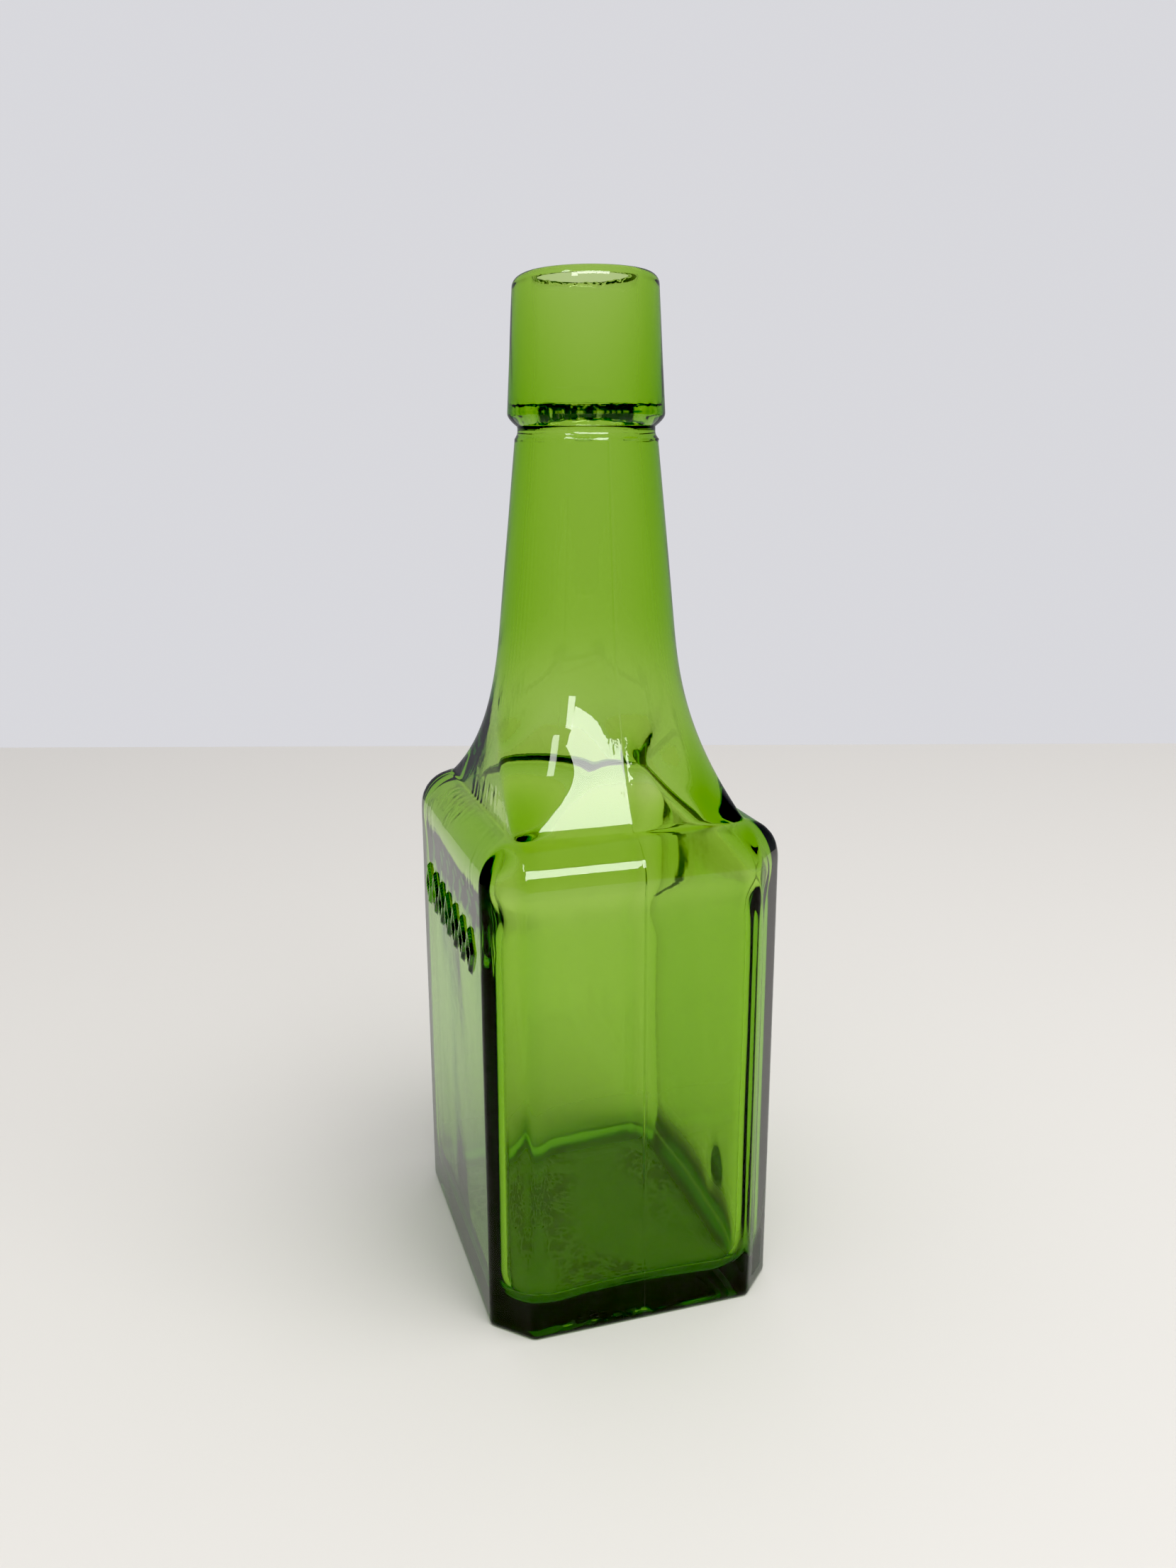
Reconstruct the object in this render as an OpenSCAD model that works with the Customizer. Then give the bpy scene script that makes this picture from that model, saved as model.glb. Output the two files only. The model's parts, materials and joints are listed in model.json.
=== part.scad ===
// Square-shouldered glass case bottle: a mould-blown body with a concave
// "pagoda" shoulder and a long neck, and a collar of glass laid on afterwards.
// Millimetres. Origin: centre of the base. +Z up, front panel towards -Y,
// ornamented panel towards -X.

/* [Body] */
// Width of the front and back panels
body_w = 65; // [60:0.5:75]
// Width of the side panels, front to back
body_d = 79; // [74:0.5:90]
// Corner chamfer, measured along the panel
chamfer = 7.8; // [5:0.1:10]
// Height of the upright walls
wall_h = 100.5; // [95:0.5:104]
// Thickness of the upright walls
wall_t = 4.5; // [3:0.1:5.5]
// Thickness of the base
base_t = 4.6; // [4:0.1:8]
// Rounding of the bottom edge
heel = 0.6; // [0.4:0.1:2]
// Corner radius of the hollow inside the body
hollow_r = 8; // [5:0.5:10]
// Rounding between the hollow's floor and its walls
floor_r = 5; // [2:0.5:6]

/* [Shoulder] */
// Height of the crease where the flared shoulder starts
crease_h = 109; // [107:0.5:112]
// Width of the flared shoulder at the crease
crease_w = 50; // [46:0.5:52]
// Depth of the flared shoulder at the crease
crease_d = 62.4; // [58:0.2:66]
// Height where the flare has become a round neck
flare_top_h = 145.5; // [140:0.5:150]
// Corner radius of the flare at the crease
crease_r = 1.3; // [0.8:0.1:3]

/* [Neck] */
// Height of the end of the neck, under the collar
neck_h = 188.7; // [186:0.1:190]
// Radius of the neck at its top end
neck_r = 14.9; // [14:0.1:15.5]
// Widening of the neck's radius for each millimetre down
neck_draft = 0.1; // [0.06:0.01:0.12]
// Thickness of the neck's wall
neck_t = 4.1; // [3.5:0.1:4.3]

/* [Collar] */
// Overall height of the bottle
total_h = 219; // [216:0.5:224]
// Radius of the collar near its lower edge
collar_low_r = 16.6; // [16.2:0.1:18]
// Radius of the collar near its top
collar_top_r = 15.2; // [14.8:0.1:16]
// Radius of the cork bore
bore_r = 11; // [10.9:0.1:11.2]
// Length of the cork bore's straight wall
bore_l = 24.5; // [18:0.5:25]

/* [Relief] */
// Number of raised lozenges in the row on the left panel
lozenges = 7; // [3:1:9]
// Height of a lozenge
lozenge_h = 10.5; // [6:0.5:14]
// Width of a lozenge
lozenge_w = 6; // [4:0.5:7]
// Distance from one lozenge to the next
lozenge_pitch = 7.4; // [5:0.1:7.8]
// Width of a lozenge's raised line
lozenge_line = 1.3; // [1:0.1:1.6]
// Height of the lozenge row's middle
lozenge_z = 83.8; // [70:0.5:88]
// How far the relief stands out
relief = 0.8; // [0.4:0.1:1.2]
// Width of the mould seams on the front and back panels
seam_w = 0.8; // [0.5:0.1:1.2]
// How far the mould seams stand out
seam_out = 0.25; // [0.1:0.05:0.4]

/* [Hidden] */
$fn = 72;

CORNER_POINTS = 10;    // points round each corner of a section
HEEL_RINGS = 3;
SHOULDER_RINGS = 6;
FLARE_RINGS = 12;
FILLET_RINGS = 4;
FACE_CURVE = 1.6;      // exponents of the flare's concave faces and corners
SIDE_CURVE = 2.25;
ROUND_CURVE = 3;
RING_UP = 1.1;         // the parting ring's half height and its place below the neck's end
RING_OUT = 0.35;
RING_DOWN = 2.6;
GROOVE_IN = 0.35;
LIP_OUTER_R = 2.2;     // rounding of the collar's top edge
LIP_FOOT = 2.6;        // height over which the collar swells out from the groove
LIP_FOOT_STEPS = 6;
LEDGE_BEVEL = 0.6;
TOP_SHARE = 0.82;      // a lozenge's top outline against its foot
OFFSET_CHAMFER = 0.586; // loss of chamfer for each millimetre that a ring is set in
JOIN = 0.05;           // a round part stands this far outside the many-sided one it continues
EPS = 0.01;
GLASS = [0.38, 0.62, 0.10, 0.6];

lip_inner_r = (collar_top_r - LIP_OUTER_R) - bore_r;
ledge_h = total_h - lip_inner_r - bore_l;

// ---- sections -----------------------------------------------------------

// One ring of points at height z: a rectangle of half sizes x and y whose
// corners are cut to length c, straight where bulge is 0 and as arcs where 1
function ring(x, y, c, bulge, z) = [
    for (q = [0 : 3], i = [0 : CORNER_POINTS - 1])
        let (
            u = (q % 2 == 0) ? i / (CORNER_POINTS - 1) : 1 - i / (CORNER_POINTS - 1),
            flat = [x - c * u, y - c + c * u],
            arc = [x - c + c * cos(90 * u), y - c + c * sin(90 * u)],
            p = flat * (1 - bulge) + arc * bulge,
            sx = (q == 0 || q == 3) ? 1 : -1,
            sy = (q < 2) ? 1 : -1
        )
        [sx * p.x, sy * p.y, z]
];

// Outer radius of the round neck, carried on downwards through the flare
function neck_radius(z) = neck_r + neck_draft * (neck_h - z);

// Share of the flare still to go at height z: 1 at its foot, 0 where it is round
function left(z, z0) = max(0, 1 - (z - z0) / (flare_top_h - z0));

// A ring of the flare. t is the wall taken off, z0 the height of the flare's
// foot and r0 its corner radius there
function flare_ring(z, t, z0, r0) =
    let (
        k = left(z, z0),
        r = neck_radius(z) - t,
        foot = neck_radius(z0),
        x = r + (crease_w / 2 - foot) * pow(k, FACE_CURVE),
        y = r + (crease_d / 2 - foot) * pow(k, SIDE_CURVE),
        c = r + (r0 - r) * pow(k, ROUND_CURVE)
    )
    ring(x, y, min(c, x, y), 1, z);

// A ring of the rounded shoulder, from the upright wall (s = 0) to the crease
// (s = 1)
function shoulder_ring(s, t, z0, z1, c0, c1, bulge) =
    let (
        inward = 1 - cos(90 * s),
        x = body_w / 2 - t - (body_w - crease_w) / 2 * inward,
        y = body_d / 2 - t - (body_d - crease_d) / 2 * inward
    )
    ring(x, y, c0 + (c1 - c0) * inward, bulge, z0 + (z1 - z0) * sin(90 * s));

// ---- lofted solids ------------------------------------------------------

// A closed solid through rings that all have the same number of points
module loft(rings) {
    n = len(rings[0]);
    m = len(rings);
    polyhedron(
        points = [for (r = rings, p = r) p],
        faces = concat(
            [[for (i = [0 : n - 1]) i]],
            [for (k = [0 : m - 2], i = [0 : n - 1])
                let (j = (i + 1) % n)
                each [[k * n + i, (k + 1) * n + j, k * n + j],
                      [k * n + i, (k + 1) * n + i, (k + 1) * n + j]]],
            [[for (i = [n - 1 : -1 : 0]) (m - 1) * n + i]]
        ),
        convexity = 4
    );
}

// The outside of the glass up to the collar: rounded bottom edge, upright
// walls, shoulder and flare in one loft, then the round neck with its parting
// ring and the groove under the collar
module outer_body() {
    loft(concat(
        [for (i = [0 : HEEL_RINGS])
            let (a = 90 * i / HEEL_RINGS, inset = heel * (1 - sin(a)))
            ring(body_w / 2 - inset, body_d / 2 - inset, chamfer - inset * OFFSET_CHAMFER,
                0, heel * (1 - cos(a)))],
        [for (i = [0 : SHOULDER_RINGS])
            shoulder_ring(i / SHOULDER_RINGS, 0, wall_h, crease_h, chamfer, crease_r, 0)],
        [for (i = [1 : FLARE_RINGS])
            flare_ring(crease_h + (flare_top_h - crease_h) * i / FLARE_RINGS,
                0, crease_h, crease_r)]
    ));
    rotate_extrude()
        polygon([
            [0, flare_top_h - EPS], [neck_radius(flare_top_h) + JOIN, flare_top_h - EPS],
            [neck_radius(neck_h - RING_DOWN - RING_UP), neck_h - RING_DOWN - RING_UP],
            [neck_r + RING_OUT, neck_h - RING_DOWN],
            [neck_r - GROOVE_IN, neck_h - RING_DOWN + RING_UP],
            [neck_r - GROOVE_IN, neck_h], [0, neck_h]
        ]);
}

module hollow() {
    x = body_w / 2 - wall_t;
    y = body_d / 2 - wall_t;
    in_h = crease_h - neck_t;
    low_h = wall_h - wall_t;
    loft(concat(
        [for (i = [0 : FILLET_RINGS])
            let (
                a = 90 * i / FILLET_RINGS,
                d = floor_r * (1 - sin(a))
            )
            ring(x - d, y - d, hollow_r, 1, base_t + floor_r * (1 - cos(a)))],
        [for (i = [0 : SHOULDER_RINGS])
            shoulder_ring(i / SHOULDER_RINGS, wall_t, low_h, in_h, hollow_r, hollow_r, 1)],
        [for (i = [1 : FLARE_RINGS])
            flare_ring(in_h + (flare_top_h - in_h) * i / FLARE_RINGS,
                neck_t, in_h, hollow_r)]
    ));
    rotate_extrude()
        polygon([
            [0, flare_top_h - EPS],
            [neck_radius(flare_top_h) - neck_t + JOIN, flare_top_h - EPS],
            [neck_r - neck_t, neck_h + EPS], [0, neck_h + EPS]
        ]);
}

// ---- relief -------------------------------------------------------------

// A diamond, w wide and h high, as a thin sheet at height z
module diamond(w, h, z)
    translate([0, 0, z])
        linear_extrude(EPS)
            polygon([[w / 2, 0], [0, h / 2], [-w / 2, 0], [0, -h / 2]]);

// A raised diamond outline with sloping outer sides
module lozenge(w, h, line, out)
    difference() {
        hull() {
            diamond(w, h, 0);
            diamond(w * TOP_SHARE, h * TOP_SHARE, out);
        }
        scale([1 - 2 * line / w, 1 - 2 * line / w, 1])
            translate([0, 0, EPS])
                linear_extrude(out + 2 * EPS)
                    polygon([[w / 2, 0], [0, h / 2], [-w / 2, 0], [0, -h / 2]]);
    }

module lozenge_row()
    for (i = [0 : lozenges - 1])
        translate([-body_w / 2 + EPS, (i - (lozenges - 1) / 2) * lozenge_pitch, lozenge_z])
            rotate([90, 0, -90])
                lozenge(lozenge_w, lozenge_h, lozenge_line, relief);

// A low ridge up the middle of the front and back panels, where the mould's
// halves met
module seams()
    for (side = [0, 180])
        rotate([0, 0, side])
            translate([0, -body_d / 2, 0])
                hull() {
                    translate([-seam_w / 2, 0, heel])
                        cube([seam_w, EPS, wall_h - heel]);
                    translate([-seam_w / 6, -seam_out, heel + seam_out])
                        cube([seam_w / 3, EPS, wall_h - heel - 2 * seam_out]);
                }

// ---- the two pieces of glass --------------------------------------------

module glass_body()
    color(GLASS)
        union() {
            difference() {
                outer_body();
                hollow();
            }
            lozenge_row();
            seams();
        }

module applied_lip() {
    foot_r = neck_r - GROOVE_IN;
    top_z = total_h - LIP_OUTER_R;
    in_z = total_h - lip_inner_r;
    color(GLASS)
        rotate_extrude()
            polygon(concat(
                [[neck_r - neck_t, neck_h]],
                [for (i = [0 : LIP_FOOT_STEPS])
                    let (t = i / LIP_FOOT_STEPS)
                    [foot_r + (collar_low_r - foot_r) * t * t * (3 - 2 * t),
                     neck_h + LIP_FOOT * t]],
                [for (a = [0 : 15 : 90])
                    [collar_top_r - LIP_OUTER_R * (1 - cos(a)), top_z + LIP_OUTER_R * sin(a)]],
                [for (a = [15 : 15 : 90])
                    [bore_r + lip_inner_r * (1 - sin(a)), in_z + lip_inner_r * cos(a)]],
                [[bore_r, ledge_h], [neck_r - neck_t, ledge_h - LEDGE_BEVEL]]
            ));
}

glass_body();
applied_lip();
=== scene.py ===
import json
import math

import bpy
import numpy as np
from mathutils import Matrix, Vector, noise


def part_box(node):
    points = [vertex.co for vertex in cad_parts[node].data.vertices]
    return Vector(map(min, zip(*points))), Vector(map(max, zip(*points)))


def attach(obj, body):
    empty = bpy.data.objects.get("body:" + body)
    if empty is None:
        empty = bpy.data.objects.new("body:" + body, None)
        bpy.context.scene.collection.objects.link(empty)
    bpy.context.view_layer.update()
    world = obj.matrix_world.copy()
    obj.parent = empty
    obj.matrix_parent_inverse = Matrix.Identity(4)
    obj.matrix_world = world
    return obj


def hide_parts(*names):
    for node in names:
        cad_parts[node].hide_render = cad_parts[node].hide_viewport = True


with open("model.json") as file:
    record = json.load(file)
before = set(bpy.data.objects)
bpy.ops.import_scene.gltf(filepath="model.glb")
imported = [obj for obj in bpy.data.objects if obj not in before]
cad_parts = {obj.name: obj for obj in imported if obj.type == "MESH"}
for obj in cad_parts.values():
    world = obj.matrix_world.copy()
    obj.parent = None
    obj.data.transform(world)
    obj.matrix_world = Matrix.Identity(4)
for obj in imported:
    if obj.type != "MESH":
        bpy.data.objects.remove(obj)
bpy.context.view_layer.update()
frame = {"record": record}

MM = 0.001

# ---- sizes, in millimetres ------------------------------------------------

# What the frame says
body_low, body_high = (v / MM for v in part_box("glass_body"))
lip_low, lip_high = (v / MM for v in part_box("applied_lip"))
mouth = next(m for m in frame["record"]["mounts"] if m["name"] == "mouth")

SEAM_OUT = 0.25         # how far the frame's seams stand out, front and back
WIDTH = 2 * body_high.x
DEPTH = 2 * (body_high.y - SEAM_OUT)
RELIEF = -body_low.x - body_high.x
NECK_H = body_high.z
TOTAL_H = lip_high.z
COLLAR_LOW_R = lip_high.x
BORE_R = mouth["dims"]["r_mm"]
BORE_L = mouth["dims"]["length_mm"]

# The body
CHAMFER = 7.8
EDGE_R = 1.6            # rounding of the chamfers' edges
HEEL = 0.6
WALL_H = 100.5
WALL_T = 4.5
BASE_T = 4.4
DISH = 0.5              # how far the underside is hollowed
DISH_EDGE = 0.2         # share of the underside over which the dish rises
HOLLOW_R = 8.0
FLOOR_R = 6.0

# The shoulder, the flare and the neck
CREASE_H = 109.0
CREASE_W = 50.0
CREASE_D = 62.4
CREASE_R = 1.3
FLARE_TOP_H = 145.5
FLARE_T = 2.4
THIN_H = 89             # the wall thins out from here, over THIN_RUN
THIN_RUN = 12
THICK_H = 120           # and thickens again from here, over THICK_RUN
THICK_RUN = 32
NECK_R = 14.9
NECK_DRAFT = 0.1
NECK_T = 4.1
FACE_CURVE = 1.6        # exponents of the flare's front and back, sides and corners
SIDE_CURVE = 2.25
ROUND_CURVE = 3.0

# The parting ring, the groove above it and the joint
RING_Z = NECK_H - 2.6
RING_OUT = 0.22
RING_HALF = 0.28
RING_REACH = 1.5        # the neck's rings are close together from this far below the parting ring
GROOVE_IN = 0.35
GROOVE_START = 0.2
GROOVE_RUN = 0.9
JOINT_IN = 0.03
JOINT_HALF = 0.22
LIP_JOINT_HALF = 0.25

# The collar
COLLAR_TOP_R = 15.2
LIP_OUTER_R = 2.2
LIP_FOOT = 2.6          # height over which the collar swells out from the groove
LIP_INNER_R = 1.0
LIP_GAP = 0.03          # keeps the two skins of glass apart at the joint
LEDGE_DROP = 0.5
LEDGE_H = TOTAL_H - (COLLAR_TOP_R - LIP_OUTER_R - BORE_R) - BORE_L - LEDGE_DROP
LEDGE_LAP = 0.35        # how far the bead at the ledge laps into the bore
LEDGE_BEAD = 0.45       # quarter of the bead's height
RIM_DROP = 1.4          # how much lower the rim is at the back
RIM_CHIPS = 0.9

# The row of lozenges and the mould seams
LOZENGES = 7
LOZENGE_H = 10.5
LOZENGE_W = 6.0
LOZENGE_PITCH = 7.4
LOZENGE_LINE = 1.3
LOZENGE_Z = 83.8
LOZENGE_MARGIN = 1
SEAM_HEIGHT = 0.10
SEAM_WIDTH = 0.22

# How the blown glass strays from the mould's shape
OUTSIDE_RIPPLES = ((0.10, 22, 1.6), (0.012, 6, 2.0))   # layers of height, width and stretch upwards
INSIDE_RIPPLES = ((0.50, 30, 2.2), (0.08, 11, 3.0))
OUTSIDE_SEED = 3.1
INSIDE_SEED = 8.7
OUTSIDE_INSET = 0.06    # keeps the outside's ripples inside the mould's shape
FOOT_RISE = 16          # height over which the walls' heavy foot dies out
BACK_FOOT = 1.0
RIGHT_FOOT = 0.6
FRONT_LIFT = 0.9
DENT_IN = 1.1
DENT_Y = -10
DENT_Z = 16
DENT_HALF_W = 4
DENT_HALF_H = 6
WHITTLE_IN = 0.10
WHITTLE_X = -20         # the whittle marks are to the left of this

# The stains, and the painted shade at the collar's ledge
# Painted shade at the ledge: a dark band across the front of the bore, turned to the camera's azimuth.
LEDGE_SHADE_TURN = math.radians(-17.5)
LEDGE_SHADE_HALF = 8.4        # half the width of the painted shade at the ledge
LEDGE_SHADE_RISE = 0.72       # half its height
FOLD_LOW = 67
FOLD_HIGH = 92
FOLD_LEAN = 0.60
STAIN_REACH = 0.42      # how far out the blotches go, as a share of the base's whole width and depth
HAZE_RISE = 16

# Noise: the width of the bumps, how far they are stretched upwards, and the seed
UNDER_PATCHES = (24, 1, 5.5)
UNDER_SWELL = (11, 1, 3.9)
GRIT = (4.5, 1, 8.1)
FINE_GRIT = (1.8, 1, 1.4)
STAIN_PATCHES = (17, 1, 5.5)
FLOOR_SWELL = (14, 1, 2.2)
RING_BREAKS = (5, 1, 4.2)
WHITTLE_PATCHES = (10, 1, 2.4)
WHITTLE_MARKS = (1.7, 5, 6.6)
FOLD_WANDER = (6, 1, 3.6)
FOLD_SWELL = (4, 1, 1.9)
LIP_SWELL = (9, 2.5, 1.7)
LIP_GRAIN = (3, 3, 4.4)
BORE_SWELL = (4, 5, 3.3)
LEDGE_BUMPS = (1.6, 1, 6.1)
RIM_SWELL = (10, 1, 9.3)
CHIPS = (2.4, 1, 2.9)
FINE_CHIPS = (0.9, 1, 7.7)
LEDGE_SHADE_EDGE = (1.5, 1, 2.7)
LEDGE_SHADE_FINE_EDGE = (0.6, 1, 5.2)
LEDGE_SHADE_BREAKS = (0.9, 1, 9.4)

# The meshes
BODY_POINTS = 480       # points round each ring
LIP_POINTS = 360
CAP_RINGS = 60
CORNER_STEPS = 12

ROUND_TO_CUT = 2 - math.sqrt(2)  # chamfer leg of the octagon that a quarter circle of radius 1 fits in
HALF_TURN = math.tan(math.radians(22.5))


# ---- sections -------------------------------------------------------------

def smooth(t):
    """A soft step from 0, where t is 0 or less, to 1, where t is 1 or more."""
    t = min(1.0, max(0.0, t))
    return t * t * (3 - 2 * t)


def bell(away, half):
    """A bump, 1 in its middle and fading past half."""
    return math.exp(-((away / half) ** 2))


def waves(point, width, stretch, seed):
    """Smooth noise from about -1 to 1 at a point."""
    x, y, z = point
    return noise.noise(Vector((x / width + seed, y / width - seed, z / width / stretch + seed)))


def around(count):
    """Fractions of the way round a section, crowded on the ornamented panel and at the mould seams."""
    grid = np.linspace(0, 1, 4001)
    s = grid[:-1]
    weight = np.ones_like(s)
    weight += 1.3 * (np.abs(s - 0.5) < 0.115)
    for seam in (0.25, 0.75):
        weight += 5.0 * np.exp(-(((s - seam) / 0.008) ** 2))
    total = np.cumsum(weight)
    return np.interp(np.arange(count) / count, np.concatenate([[0], total / total[-1]]), grid)


def outline(x, y, cut, r, fractions):
    """Points round an octagon of half sizes x and y: corners cut by a length, their edges rounded to r."""
    r = min(r, cut * math.sqrt(2) / 2 / HALF_TURN)
    corners = [(x, y - cut), (x - cut, y), (cut - x, y), (-x, y - cut),
               (-x, cut - y), (cut - x, -y), (x - cut, -y), (x, cut - y)]
    points = [(x, 0.0)]
    for i, (px, py) in enumerate(corners):
        heading = math.radians(90 + 45 * i)
        ahead = np.array([math.cos(heading), math.sin(heading)])
        centre = np.array([px, py]) - ahead * r * HALF_TURN + r * np.array([-ahead[1], ahead[0]])
        for k in range(CORNER_STEPS + 1):
            turn = heading - math.pi / 2 + math.radians(45) * k / CORNER_STEPS
            points.append(tuple(centre + r * np.array([math.cos(turn), math.sin(turn)])))
    points.append((x, 0.0))
    points = np.array(points)
    run = np.concatenate([[0], np.cumsum(np.hypot(*np.diff(points, axis=0).T))])
    return np.column_stack([np.interp(fractions * run[-1], run, points[:, k]) for k in (0, 1)])


def section_rings(stations, fractions):
    return [np.column_stack([outline(x, y, cut, r, fractions), np.full(len(fractions), z)])
            for x, y, cut, r, z in stations]


def blurred(a, reach, pitch):
    """Columns of values at an even pitch, averaged over a reach, with both ends kept."""
    half = int(4 * reach / pitch)
    kernel = np.exp(-0.5 * (np.arange(-half, half + 1) * pitch / reach) ** 2)
    kernel /= kernel.sum()
    padded = np.concatenate([2 * a[0] - a[half:0:-1], a, 2 * a[-1] - a[-2:-half - 2:-1]])
    return np.column_stack([np.convolve(padded[:, k], kernel, "valid") for k in range(a.shape[1])])


def spaced(a, pitch, finer=None):
    """Stations resampled at a pitch along their run; finer(z) divides the pitch."""
    move = np.diff(a[:, [0, 1, 4]], axis=0)
    length = np.linalg.norm(move, axis=1)
    if finer:
        length *= [finer(z) for z in a[1:, 4]]
    run = np.concatenate([[0], np.cumsum(length)])
    keep = np.concatenate([[True], np.diff(run) > 1e-9])
    a = a[keep]
    run = run[keep]
    at = np.linspace(0, run[-1], max(2, int(round(run[-1] / pitch)) + 1))
    return np.column_stack([np.interp(at, run, a[:, k]) for k in range(a.shape[1])])


def even(stations, step, soften, finer):
    """Stations with their sharp turns softened, resampled at a step that finer(z) divides."""
    pitch = 0.1
    fine = spaced(np.array(stations, float), pitch)
    return spaced(blurred(fine, soften, pitch), step, finer)


# ---- the body's shape -----------------------------------------------------

def neck_radius(z):
    return NECK_R + NECK_DRAFT * (NECK_H - z)


def wall_t(z):
    """The thickness of the glass at height z."""
    thinning = (FLARE_T - WALL_T) * smooth((z - THIN_H) / THIN_RUN)
    return WALL_T + thinning + (NECK_T - FLARE_T) * smooth((z - THICK_H) / THICK_RUN)


def flare(z, t, foot_z, foot_r):
    """The station of the flare at height z, with wall t taken off."""
    k = max(0.0, 1 - (z - foot_z) / (FLARE_TOP_H - foot_z))
    r = neck_radius(z) - t
    foot = neck_radius(foot_z)
    x = r + (CREASE_W / 2 - foot) * k ** FACE_CURVE
    y = r + (CREASE_D / 2 - foot) * k ** SIDE_CURVE
    c = min(r + (foot_r - r) * k ** ROUND_CURVE, x, y)
    return x, y, c * ROUND_TO_CUT, c, z


def shoulder(s, t, z0, z1, cut, edge):
    """The station of the rounded shoulder, from the wall (s = 0) to the crease (s = 1)."""
    inward = 1 - math.cos(math.pi / 2 * s)
    return (WIDTH / 2 - t - (WIDTH - CREASE_W) / 2 * inward,
            DEPTH / 2 - t - (DEPTH - CREASE_D) / 2 * inward,
            cut[0] + (cut[1] - cut[0]) * inward,
            edge[0] + (edge[1] - edge[0]) * inward,
            z0 + (z1 - z0) * math.sin(math.pi / 2 * s))


def outer_stations():
    heel_steps, shoulder_steps, flare_steps, neck_steps = 7, 17, 40, 120
    out = []
    for a in np.linspace(0, math.pi / 2, heel_steps):
        inset = HEEL * (1 - math.sin(a))
        out.append((WIDTH / 2 - inset, DEPTH / 2 - inset, CHAMFER - inset * ROUND_TO_CUT, EDGE_R,
                    HEEL * (1 - math.cos(a))))
    out += [shoulder(s, 0, WALL_H, CREASE_H, (CHAMFER, CREASE_R * ROUND_TO_CUT), (EDGE_R, CREASE_R))
            for s in np.linspace(0, 1, shoulder_steps)]
    out += [flare(z, 0, CREASE_H, CREASE_R) for z in np.linspace(CREASE_H, FLARE_TOP_H, flare_steps)[1:]]
    for z in np.linspace(FLARE_TOP_H, NECK_H, neck_steps)[1:]:
        into_groove = smooth((z - RING_Z - GROOVE_START) / GROOVE_RUN)
        r = neck_radius(z) + (NECK_R - GROOVE_IN - neck_radius(z)) * into_groove
        out.append((r, r, r * ROUND_TO_CUT, r, z))
    return even(out, 0.8, 0.4, outer_detail)


def outer_detail(z):
    """How much closer the rings of the outside are: at the relief, the parting ring and the joint."""
    if z > RING_Z - RING_REACH:
        return 8
    return 2.2 if at_lozenges(z) else 1


def inner_stations():
    floor_steps, wall_steps, shoulder_steps, flare_steps, neck_steps = 9, 30, 13, 40, 40
    x = WIDTH / 2 - WALL_T
    y = DEPTH / 2 - WALL_T
    round_cut = HOLLOW_R * ROUND_TO_CUT
    low_h = WALL_H - WALL_T
    in_h = CREASE_H - FLARE_T
    out = []
    for a in np.linspace(0, math.pi / 2, floor_steps):
        inset = FLOOR_R * (1 - math.sin(a))
        out.append((x - inset, y - inset, round_cut, HOLLOW_R, BASE_T + FLOOR_R * (1 - math.cos(a))))
    out += [(x + WALL_T - wall_t(z), y + WALL_T - wall_t(z), round_cut, HOLLOW_R, z)
            for z in np.linspace(BASE_T + FLOOR_R, low_h, wall_steps)[1:-1]]
    for s in np.linspace(0, 1, shoulder_steps):
        z = low_h + (in_h - low_h) * math.sin(math.pi / 2 * s)
        out.append(shoulder(s, wall_t(z), low_h, in_h, (round_cut, round_cut), (HOLLOW_R, HOLLOW_R)))
    out += [flare(z, wall_t(z), in_h, HOLLOW_R) for z in np.linspace(in_h, FLARE_TOP_H, flare_steps)[1:]]
    for z in np.linspace(FLARE_TOP_H, NECK_H, neck_steps)[1:]:
        r = neck_radius(z) - wall_t(z)
        out.append((r, r, r * ROUND_TO_CUT, r, z))
    return even(out, 1.2, 1.6, None)


# ---- the body's surface ---------------------------------------------------

def ripple(rings, layers, seed, inset=0.0):
    """Moves ring points outwards by layers of noise, less an inset; the end rings stay where they are."""
    hold = 3
    last = len(rings) - 1
    for i, ring in enumerate(rings):
        fade = min(1.0, min(i, last - i) / hold)
        ahead = np.roll(ring, -1, axis=0) - np.roll(ring, 1, axis=0)
        side = np.column_stack([ahead[:, 1], -ahead[:, 0]])
        side /= np.maximum(np.linalg.norm(side, axis=1, keepdims=True), 1e-9)
        rise = [sum(h * waves(p, width, stretch, seed) for h, width, stretch in layers) for p in ring]
        ring[:, :2] += side * ((np.array(rise) - inset) * fade)[:, None]


def settle(p):
    """Moves a point of the hollow: a heavier foot at the back and right, a lift at the front, and a dent."""
    foot = max(0.0, 1 - (p[2] - BASE_T) / FOOT_RISE) ** 2
    p[1] -= smooth((p[1] - 6) / 14) * BACK_FOOT * foot
    p[0] -= smooth((p[0] - 14) / 8) * RIGHT_FOOT * foot
    dent = ((p[1] - DENT_Y) / DENT_HALF_W) ** 2 + ((p[2] - DENT_Z) / DENT_HALF_H) ** 2
    p[0] -= (p[0] > 20) * DENT_IN * math.exp(-dent)
    front = smooth((-p[1] - 14) / 12)
    p[2] += front * foot * (FRONT_LIFT - 2 * FRONT_LIFT * (p[0] / 27) ** 2)


def shape_neck_end(ring, z):
    """The broken parting ring, and the fine line of the joint."""
    if z <= RING_Z - RING_REACH:
        return
    for p in ring:
        broken = smooth(0.35 + 1.6 * waves(p, *RING_BREAKS))
        bulge = RING_OUT * broken * bell(z - RING_Z, RING_HALF)
        bulge -= JOINT_IN * bell(z - NECK_H, JOINT_HALF)
        p[:2] *= 1 + bulge / math.hypot(p[0], p[1])


def raise_seams(ring, z):
    """The mould seams up the front and the back."""
    if HEEL < z < RING_Z:
        seam = SEAM_HEIGHT * np.exp(-((ring[:, 0] / SEAM_WIDTH) ** 2))
        ring[:, 1] += np.sign(ring[:, 1]) * seam * (np.abs(ring[:, 0]) < 3)


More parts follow.
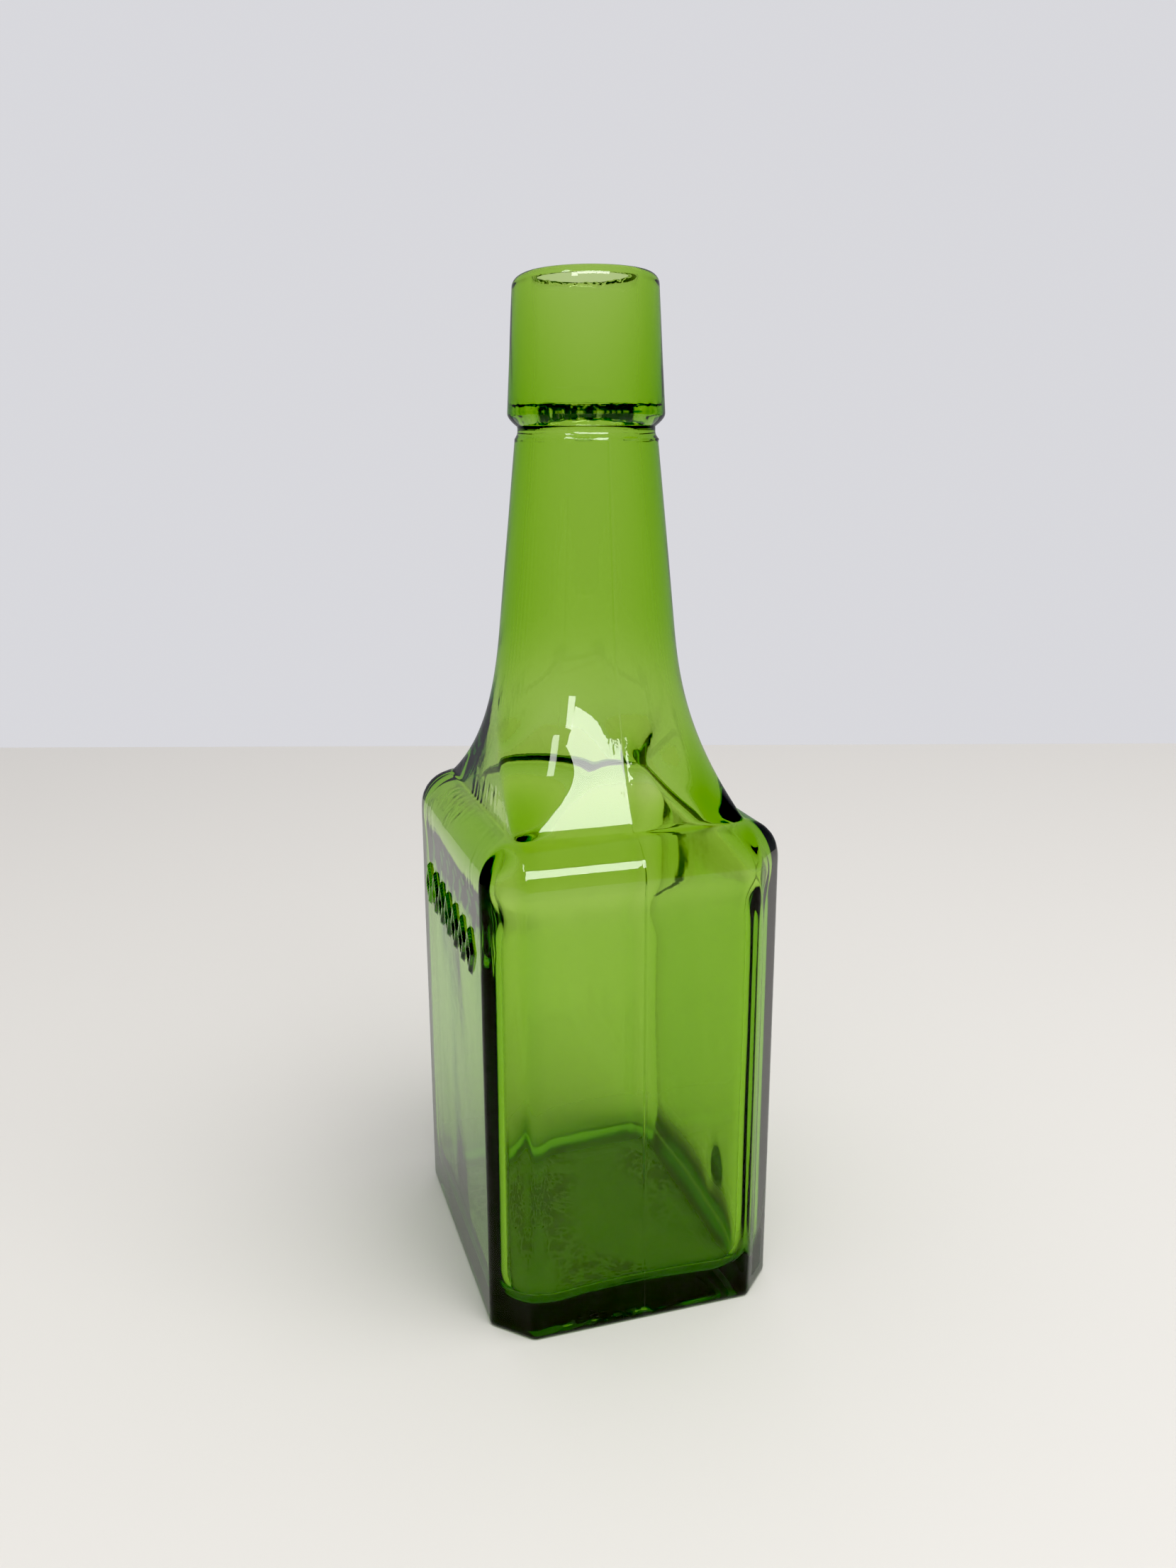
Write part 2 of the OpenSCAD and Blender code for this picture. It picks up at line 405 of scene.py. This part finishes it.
def whittle(ring, z):
    """The fine ripples of cooler mould on the left shoulder."""
    if not WALL_H - 3 < z < CREASE_H + 6:
        return
    for i in np.flatnonzero(ring[:, 0] < WHITTLE_X):
        p = ring[i]
        patch = smooth(0.4 + 2 * waves(p, *WHITTLE_PATCHES)) * smooth((-p[0] + WHITTLE_X) / 5)
        p[:2] *= 1 - WHITTLE_IN * patch * (0.5 + waves(p, *WHITTLE_MARKS)) / math.hypot(p[0], p[1])


def at_lozenges(z):
    return abs(z - LOZENGE_Z) < LOZENGE_H / 2 + LOZENGE_MARGIN


def lozenge_height(y, z):
    """How far the row of lozenge outlines stands out at a place on the ornamented panel, from 0 to 1."""
    nearest = min(max(round(y / LOZENGE_PITCH), -(LOZENGES // 2)), LOZENGES // 2)
    across = abs(y - nearest * LOZENGE_PITCH)
    up = abs(z - LOZENGE_Z)
    a = (LOZENGE_W - LOZENGE_LINE) / 2
    b = LOZENGE_H / 2 * a / (LOZENGE_W / 2)
    away = abs(across / a + up / b - 1) * a * b / math.hypot(a, b)
    rise = max(0.0, 1 - away / (LOZENGE_LINE * 0.62))
    return min(1.0, 1.6 * rise * rise * (3 - 2 * rise))


def raise_lozenges(ring, z):
    """The row of lozenges on the left panel."""
    if not at_lozenges(z):
        return
    on_panel = (ring[:, 0] < -WIDTH / 2 + 0.5) & (np.abs(ring[:, 1]) < DEPTH / 2 - CHAMFER)
    for i in np.flatnonzero(on_panel):
        ring[i, 0] -= RELIEF * 0.9 * lozenge_height(ring[i, 1], ring[i, 2])


def crust(p):
    return abs(waves(p, *GRIT)) + 0.6 * abs(waves(p, *FINE_GRIT))


def mottle(p):
    """The rough patches of the underside, where the hot glass touched the cooler mould."""
    patch = smooth(0.2 + 2.2 * waves(p, *UNDER_PATCHES))
    return 0.16 * waves(p, *UNDER_SWELL) + 0.30 * patch * crust(p)


# ---- the body's stains ----------------------------------------------------

def floor_haze(p):
    """The clouded inner edge between the floor and the walls, strongest at the back."""
    if p.z < BASE_T - 1 or p.z > BASE_T + HAZE_RISE or abs(p.x) > WIDTH / 2 - 2 or abs(p.y) > DEPTH / 2 - 2:
        return 0
    edge = max(smooth((p.y - 20) / 8), smooth((p.x - 19) / 6))
    return edge * smooth((BASE_T + HAZE_RISE - 2 - p.z) / 8)


def corner_fold(p):
    """The dark fold that wanders down the inside of the right wall, beside its back corner."""
    if not WIDTH / 2 - WALL_T - 4 < p.x < WIDTH / 2 - 2 or p.y < 0 or not FOLD_LOW < p.z < FOLD_HIGH:
        return 0
    height = (0, 0, p.z)
    middle = 26 - FOLD_LEAN * (p.z - 69) + 3 * waves(height, *FOLD_WANDER)
    half = 1.6 + 2.6 * abs(waves(height, *FOLD_SWELL))
    ends = smooth((p.z - FOLD_LOW) / 3) * smooth((FOLD_HIGH - p.z) / 2)
    return 0.9 * smooth(half - abs(p.y - middle)) * ends


def underside_residue(p):
    """Dark blotches left under the base."""
    if p.z > DISH + 1.5 or math.hypot(p.x / WIDTH, p.y / DEPTH) > STAIN_REACH:
        return 0
    patch = smooth(0.35 + 2.2 * waves(p, *STAIN_PATCHES))
    return 0.45 * patch * smooth((crust(p) - 0.2) / 0.2)


# ---- meshes ---------------------------------------------------------------

def skin(name, rings, closed):
    """A closed mesh through rings of equal size: a tube closed on itself, or one with a pole at each end."""
    n = len(rings[0])
    m = len(rings)
    points = [tuple(p * MM) for ring in rings for p in ring]
    faces = []
    for k in range(m if closed else m - 1):
        a = k * n
        b = (k + 1) % m * n
        faces += [(a + i, a + (i + 1) % n, b + (i + 1) % n, b + i) for i in range(n)]
    if not closed:
        for ring, start, flip in ((rings[0], 0, True), (rings[-1], (m - 1) * n, False)):
            pole = len(points)
            points.append(tuple(ring.mean(axis=0) * MM))
            for i in range(n):
                a = start + i
                b = start + (i + 1) % n
                faces.append((b, a, pole) if flip else (a, b, pole))
    mesh = bpy.data.meshes.new(name)
    mesh.from_pydata(points, [], faces)
    mesh.validate()
    mesh.shade_smooth()
    piece = bpy.data.objects.new(name, mesh)
    bpy.context.collection.objects.link(piece)
    return piece


def cap(ring, scales, height):
    """Rings that shrink towards the middle of a ring; height gives z from the scale and the place."""
    out = []
    for s in scales:
        inner = ring.copy()
        inner[:, :2] *= s
        inner[:, 2] = [height(s, p) for p in inner]
        out.append(inner)
    return out


def mark(piece, name, amount):
    """Stores amount(point in mm) at every point of a mesh, for the glass to read."""
    layer = piece.data.attributes.new(name, "FLOAT", "POINT")
    layer.data.foreach_set("value", [amount(v.co / MM) for v in piece.data.vertices])


def make_body():
    fractions = around(BODY_POINTS)
    outside = section_rings(outer_stations(), fractions)
    inside = section_rings(inner_stations(), fractions)
    ripple(outside, OUTSIDE_RIPPLES, OUTSIDE_SEED, OUTSIDE_INSET)
    ripple(inside, INSIDE_RIPPLES, INSIDE_SEED)
    for ring in inside:
        for p in ring:
            settle(p)
    for ring in outside:
        z = ring[0, 2]
        for shape in (shape_neck_end, raise_seams, whittle, raise_lozenges):
            shape(ring, z)
    scales = np.linspace(1, 0.02, CAP_RINGS)[1:]
    rim_z = inside[0][:, 2].mean()
    under = cap(outside[0], scales[::-1], lambda s, p: smooth((1 - s) / DISH_EDGE) * (DISH + mottle(p)))
    floor = cap(inside[0], scales,
                lambda s, p: p[2] * s + rim_z * (1 - s) + 0.4 * (1 - s) * waves(p, *FLOOR_SWELL))
    piece = skin("bottle_body", under + outside + inside[::-1] + floor, closed=False)
    mark(piece, "haze", floor_haze)
    mark(piece, "residue", lambda p: max(underside_residue(p), corner_fold(p)))
    return piece


# ---- the collar -----------------------------------------------------------

def lip_profile():
    """The collar's section as a closed list of (radius, height)."""
    foot_r = NECK_R - GROOVE_IN
    throat = NECK_R - NECK_T
    turns = [math.radians(a) for a in range(0, 91, 10)]
    points = [(foot_r + (COLLAR_LOW_R - foot_r) * math.sin(math.pi / 2 * t), NECK_H + LIP_FOOT * t)
              for t in np.linspace(0, 1, 11)]
    points += [(COLLAR_TOP_R - LIP_OUTER_R * (1 - math.cos(a)), TOTAL_H - LIP_OUTER_R * (1 - math.sin(a)))
               for a in turns]
    points += [(BORE_R + LIP_INNER_R * (1 - math.sin(a)), TOTAL_H - LIP_INNER_R * (1 - math.cos(a)))
               for a in turns]
    points += [(BORE_R, LEDGE_H + 2 * LEDGE_BEAD),
               (throat - 0.8 * LEDGE_LAP, LEDGE_H + LEDGE_BEAD),
               (throat - LEDGE_LAP, LEDGE_H),
               (throat - 0.8 * LEDGE_LAP, LEDGE_H - LEDGE_BEAD),
               (throat, LEDGE_H - 2 * LEDGE_BEAD),
               (throat, NECK_H)]
    return points


def lip_detail(z):
    """How much closer the rings of the lip are: at the joint, the ledge and the rim."""
    return 2 if z < LEDGE_H + 1.5 or z > TOTAL_H - 3 else 1


def tool_lip(p):
    """Moves a point of the collar, which a hand tool left uneven: swells, a rough ledge and a chipped rim."""
    radius = math.hypot(p[0], p[1])
    low = smooth((p[2] - NECK_H) / 1.5)
    high = smooth((p[2] - TOTAL_H + 9) / 9)
    inner = smooth((13.4 - radius) / 1.2)
    at_ledge = inner * bell(p[2] - LEDGE_H, 1.2)
    at_rim = inner * smooth((p[2] - TOTAL_H + 2.5) / 2) * smooth(p[1] / 6)
    shift = low * (0.08 * waves(p, *LIP_SWELL) + 0.02 * waves(p, *LIP_GRAIN) - 0.10)
    shift += inner * high * 0.10 * waves(p, *BORE_SWELL)
    shift += 0.30 * at_ledge * waves(p, *LEDGE_BUMPS)
    if radius > 13:
        shift -= JOINT_IN * bell(p[2] - NECK_H, LIP_JOINT_HALF)
    back = 0.5 + 0.5 * p[1] / COLLAR_LOW_R
    p[2] -= high * (RIM_DROP * smooth(back) + 0.10 * (0.5 + waves(p, *RIM_SWELL)) * back)
    p[2] -= at_rim * RIM_CHIPS * abs(waves(p, *CHIPS) + 0.5 * waves(p, *FINE_CHIPS))
    p[:2] *= 1 + shift / radius


def ledge_painted_shade(p):
    """Painted shade: a dark band in the fold where the lip's glass meets the neck, on the half of the bore
    that faces the camera.
    """
    if math.hypot(p.x, p.y) > BORE_R - 0.05:
        return 0
    if p.y * math.cos(LEDGE_SHADE_TURN) - p.x * math.sin(LEDGE_SHADE_TURN) > 0:
        return 0
    away = abs(p.z - LEDGE_H) + 0.3 * waves(p, *LEDGE_SHADE_EDGE) + 0.2 * waves(p, *LEDGE_SHADE_FINE_EDGE)
    along = abs(p.x * math.cos(LEDGE_SHADE_TURN) + p.y * math.sin(LEDGE_SHADE_TURN))
    patch = smooth((LEDGE_SHADE_HALF - along) / 0.4)
    return patch * smooth((LEDGE_SHADE_RISE - away) / 0.15) * smooth(1.5 + 2.2 * waves(p, *LEDGE_SHADE_BREAKS))


def make_lip():
    profile = [(r, r, r * ROUND_TO_CUT, r, z) for r, z in lip_profile()]
    profile.append(profile[0])
    loop = even(profile, 0.5, 0.15, lip_detail)[:-1]
    loop[:, 4] = np.maximum(loop[:, 4], NECK_H + LIP_GAP)
    turns = np.linspace(0, 2 * math.pi, LIP_POINTS, endpoint=False)
    rings = [np.column_stack([r * np.cos(turns), r * np.sin(turns), np.full(len(turns), z)])
             for r, z in loop[:, [0, 4]]]
    for ring in rings:
        for p in ring:
            tool_lip(p)
    piece = skin("applied_lip_glass", rings, closed=True)
    # The painted shade at the ledge goes into the same dark layer as the body's stains.
    mark(piece, "residue", ledge_painted_shade)
    return piece


# ---- materials ------------------------------------------------------------

GREEN = (0.68, 0.85, 0.22)
ABSORPTION = 400
LIP_ABSORPTION = 305
GLASS_IOR = 1.5
HAZE_ROUGHNESS = 0.36
# Colour of the stains on the body and of the painted shade at the collar's ledge.
STAIN_AND_SHADE_COLOUR = (0.012, 0.070, 0.022)
TABLE_COLOUR = (0.80, 0.775, 0.72)


def node_tree(name):
    material = bpy.data.materials.new(name)
    material.use_nodes = True
    tree = material.node_tree
    tree.nodes.clear()
    return material, tree


def stored(tree, name):
    """The output that reads what mark() stored at the mesh's points."""
    node = tree.nodes.new("ShaderNodeAttribute")
    node.attribute_name = name
    return node.outputs["Fac"]


def add_ripples(tree, shader):
    """The faint waviness of fire-polished glass, as bump."""
    place = tree.nodes.new("ShaderNodeTexCoord")
    ripples = tree.nodes.new("ShaderNodeTexNoise")
    ripples.inputs["Scale"].default_value = 260
    ripples.inputs["Detail"].default_value = 3
    bump = tree.nodes.new("ShaderNodeBump")
    bump.inputs["Strength"].default_value = 0.25
    bump.inputs["Distance"].default_value = 0.00005
    tree.links.new(place.outputs["Object"], ripples.inputs["Vector"])
    tree.links.new(ripples.outputs["Fac"], bump.inputs["Height"])
    tree.links.new(bump.outputs["Normal"], shader.inputs["Normal"])


def glass(name, tint, strength):
    """Clear green glass that absorbs along the way through, clouded where the mesh is marked, and darkened
    where it is marked with stains and with painted shade.
    """
    material, tree = node_tree(name)
    out = tree.nodes.new("ShaderNodeOutputMaterial")
    shader = tree.nodes.new("ShaderNodeBsdfPrincipled")
    shader.inputs["Base Color"].default_value = (1, 1, 1, 1)
    shader.inputs["Transmission Weight"].default_value = 1.0
    shader.inputs["IOR"].default_value = GLASS_IOR
    add_ripples(tree, shader)

    cloudy = tree.nodes.new("ShaderNodeMath")
    cloudy.operation = "MULTIPLY"
    cloudy.inputs[1].default_value = HAZE_ROUGHNESS
    tree.links.new(stored(tree, "haze"), cloudy.inputs[0])
    tree.links.new(cloudy.outputs[0], shader.inputs["Roughness"])

    # A dark layer: stains on the body, and painted shade at the collar's ledge.
    stain_and_shade_layer = tree.nodes.new("ShaderNodeBsdfDiffuse")
    stain_and_shade_layer.inputs["Color"].default_value = (*STAIN_AND_SHADE_COLOUR, 1)
    mix = tree.nodes.new("ShaderNodeMixShader")
    tree.links.new(stored(tree, "residue"), mix.inputs["Fac"])
    tree.links.new(shader.outputs[0], mix.inputs[1])
    tree.links.new(stain_and_shade_layer.outputs[0], mix.inputs[2])
    tree.links.new(mix.outputs[0], out.inputs["Surface"])

    inside = tree.nodes.new("ShaderNodeVolumeAbsorption")
    inside.inputs["Color"].default_value = (*tint, 1)
    inside.inputs["Density"].default_value = strength
    tree.links.new(inside.outputs[0], out.inputs["Volume"])
    return material


def matt(name, colour, roughness):
    material, tree = node_tree(name)
    out = tree.nodes.new("ShaderNodeOutputMaterial")
    shader = tree.nodes.new("ShaderNodeBsdfPrincipled")
    shader.inputs["Base Color"].default_value = (*colour, 1)
    shader.inputs["Roughness"].default_value = roughness
    tree.links.new(shader.outputs[0], out.inputs["Surface"])
    return material


# ---- the object -----------------------------------------------------------

body = make_body()
body.data.materials.append(glass("green_bottle_glass", GREEN, ABSORPTION))
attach(body, "root")
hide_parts("glass_body")

lip = make_lip()
lip.data.materials.append(glass("green_lip_glass", GREEN, LIP_ABSORPTION))
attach(lip, "root")
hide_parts("applied_lip")


# ---- the camera, in metres ------------------------------------------------

CAMERA_AZIMUTH = math.radians(-17.46)
CAMERA_PITCH = math.radians(14.87)
CAMERA_ROLL = math.radians(-0.21)
CAMERA_PLACE = Vector((-0.0837, -0.2665, 0.1853))
LENS = 29.47


def make_camera():
    data = bpy.data.cameras.new("camera")
    data.lens = LENS
    data.clip_start = 0.01
    camera = bpy.data.objects.new("camera", data)
    bpy.context.collection.objects.link(camera)
    turn = (Matrix.Rotation(CAMERA_AZIMUTH, 4, "Z")
            @ Matrix.Rotation(math.pi / 2 - CAMERA_PITCH, 4, "X")
            @ Matrix.Rotation(CAMERA_ROLL, 4, "Z"))
    camera.matrix_world = Matrix.Translation(CAMERA_PLACE) @ turn
    bpy.context.scene.camera = camera


make_camera()


# ---- stage and light, in metres -------------------------------------------

TABLE_EDGE = 0.514                # half the table's side
TABLE_GAP = 0.00005               # keeps the table's face off the bottle's
WALL = (0.700, 0.700, 0.732)
DIM_SHARE = 0.45                  # how bright the wall is where a surface mirrors it
BLACK = (0.034, 0.034, 0.034)
MID_BOTTLE = (0, 0, 0.12)


def make_table():
    mesh = bpy.data.meshes.new("table")
    e = TABLE_EDGE
    mesh.from_pydata([(-e, -e, 0), (e, -e, 0), (e, e, 0), (-e, e, 0)], [], [(0, 1, 2, 3)])
    table = bpy.data.objects.new("table", mesh)
    bpy.context.collection.objects.link(table)
    table.rotation_euler.z = CAMERA_AZIMUTH
    table.location.z = -TABLE_GAP
    mesh.materials.append(matt("table_top", TABLE_COLOUR, 0.6))


def make_world():
    """A pale wall all round, dimmer where a surface mirrors it."""
    world = bpy.data.worlds.new("surroundings")
    bpy.context.scene.world = world
    world.use_nodes = True
    tree = world.node_tree
    tree.nodes.clear()
    out = tree.nodes.new("ShaderNodeOutputWorld")
    pale = tree.nodes.new("ShaderNodeBackground")
    pale.inputs["Color"].default_value = (*WALL, 1)
    dim = tree.nodes.new("ShaderNodeBackground")
    dim.inputs["Color"].default_value = (*(c * DIM_SHARE for c in WALL), 1)
    path = tree.nodes.new("ShaderNodeLightPath")
    mirrored = tree.nodes.new("ShaderNodeMath")
    mirrored.operation = "MULTIPLY"
    mix = tree.nodes.new("ShaderNodeMixShader")
    tree.links.new(path.outputs["Is Glossy Ray"], mirrored.inputs[0])
    tree.links.new(path.outputs["Is Reflection Ray"], mirrored.inputs[1])
    tree.links.new(mirrored.outputs[0], mix.inputs["Fac"])
    tree.links.new(pale.outputs[0], mix.inputs[1])
    tree.links.new(dim.outputs[0], mix.inputs[2])
    tree.links.new(mix.outputs[0], out.inputs["Surface"])


def area_light(name, place, aim, size, power, glossy=True, diffuse=True):
    """A rectangular light that isn't seen through the glass."""
    data = bpy.data.lights.new(name, "AREA")
    data.shape = "RECTANGLE"
    data.size, data.size_y = size
    data.energy = power
    light = bpy.data.objects.new(name, data)
    light.location = place
    light.rotation_euler = (Vector(aim) - Vector(place)).to_track_quat("-Z", "Y").to_euler()
    light.visible_glossy = glossy
    light.visible_diffuse = diffuse
    light.visible_camera = False
    light.visible_transmission = False
    bpy.context.collection.objects.link(light)


def set_view():
    """Lifts the blacks, and lets light through the many faces of the glass."""
    scene = bpy.context.scene
    scene.view_settings.view_transform = "Standard"
    scene.view_settings.use_curve_mapping = True
    curves = scene.view_settings.curve_mapping
    curves.black_level = BLACK
    curves.update()
    scene.cycles.max_bounces = 32
    scene.cycles.transmission_bounces = 32
    scene.cycles.glossy_bounces = 16
    scene.cycles.caustics_refractive = True
    scene.cycles.caustics_reflective = True


make_table()
make_world()
area_light("overhead", (0.45, -0.6, 1.25), (0.1, -0.1, 0), (1.0, 1.0), 8.5, glossy=False)
area_light("window", (-0.088, -1.055, 0.82), MID_BOTTLE, (1.045, 0.46), 17, diffuse=False)
area_light("window_low", (-0.60, -0.875, 0.61), MID_BOTTLE, (0.17, 0.28), 1.6, diffuse=False)
area_light("lamp", (-0.1, -0.45, 0.65), (-0.1, -0.4, 0), (0.5, 0.5), 0.95, glossy=False)
area_light("window_left", (-0.83, -0.65, 1.15), MID_BOTTLE, (0.22, 0.5), 3.0, diffuse=False)
set_view()
